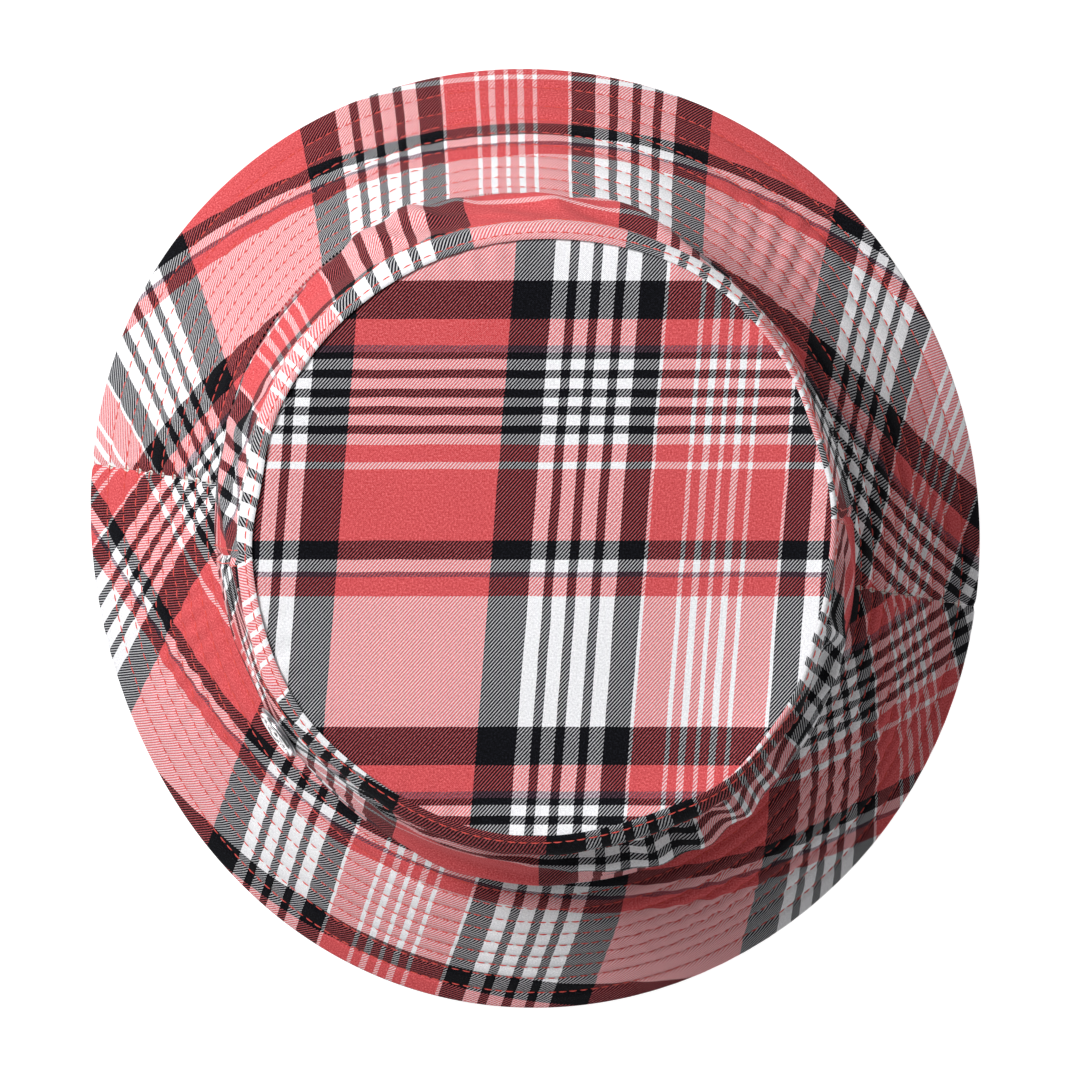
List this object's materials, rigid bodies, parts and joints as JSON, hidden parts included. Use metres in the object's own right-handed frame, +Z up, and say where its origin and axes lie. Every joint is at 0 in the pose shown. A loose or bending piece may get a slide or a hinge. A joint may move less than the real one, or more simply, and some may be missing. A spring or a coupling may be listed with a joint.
{
  "type": "bucket hat",
  "caption": "Soft bucket hat of check cotton twill: round crown tip, slouched side band, sloping stitched brim, lining, sweatband and a small pierced metal badge.",
  "frame": {"origin": "on the surface that the brim's edge rests on, under the middle of the hat", "axes": "+Z up through the crown tip, +Y towards the back of the hat, +X towards the wearer's left, so the wearer faces -Y"},
  "size_m": [0.256, 0.27, 0.1138],
  "materials": {
    "check_twill": "two-by-two cotton twill, yarn-dyed check in red, black and white",
    "brim_stiffener": "woven stiffener, matt",
    "lining_cotton": "plain cotton lining, matt",
    "sweatband_cotton": "ribbed cotton tape, matt",
    "label_satin": "white satin ribbon, slight sheen",
    "red_thread": "spun polyester sewing thread",
    "badge_silver": "polished silver plate",
    "plate_steel": "nickel plated steel"
  },
  "bodies": {
    "hat": {"crown_tip": "check_twill", "side_panel_front": "check_twill", "side_panel_back": "check_twill", "brim_upper_front": "check_twill", "brim_upper_back": "check_twill", "brim_lower_front": "check_twill", "brim_lower_back": "check_twill", "brim_stiffener_front": "brim_stiffener", "brim_stiffener_back": "brim_stiffener", "lining_tip": "lining_cotton", "lining_side_front": "lining_cotton", "lining_side_back": "lining_cotton", "sweatband": "sweatband_cotton", "sweatband_join": "sweatband_cotton", "woven_label": "label_satin", "size_tab": "label_satin", "care_label_stub": "label_satin", "brim_topstitch": "red_thread", "brim_understitch": "red_thread", "crown_topstitch": "red_thread", "side_seam_topstitch": "red_thread", "sweatband_stitch": "red_thread", "badge": "badge_silver", "badge_backplate": "plate_steel", "badge_washer": "plate_steel"},
    "care_label": {"care_label": "label_satin"}
  },
  "joints": [
    {"name": "care_label_swing", "type": "hinge", "parent": "hat", "child": "care_label", "pos_m": [0.07909, 0, 0.0692], "axis": [0, 1, 0], "range_deg": [-5, 150]}
  ]
}
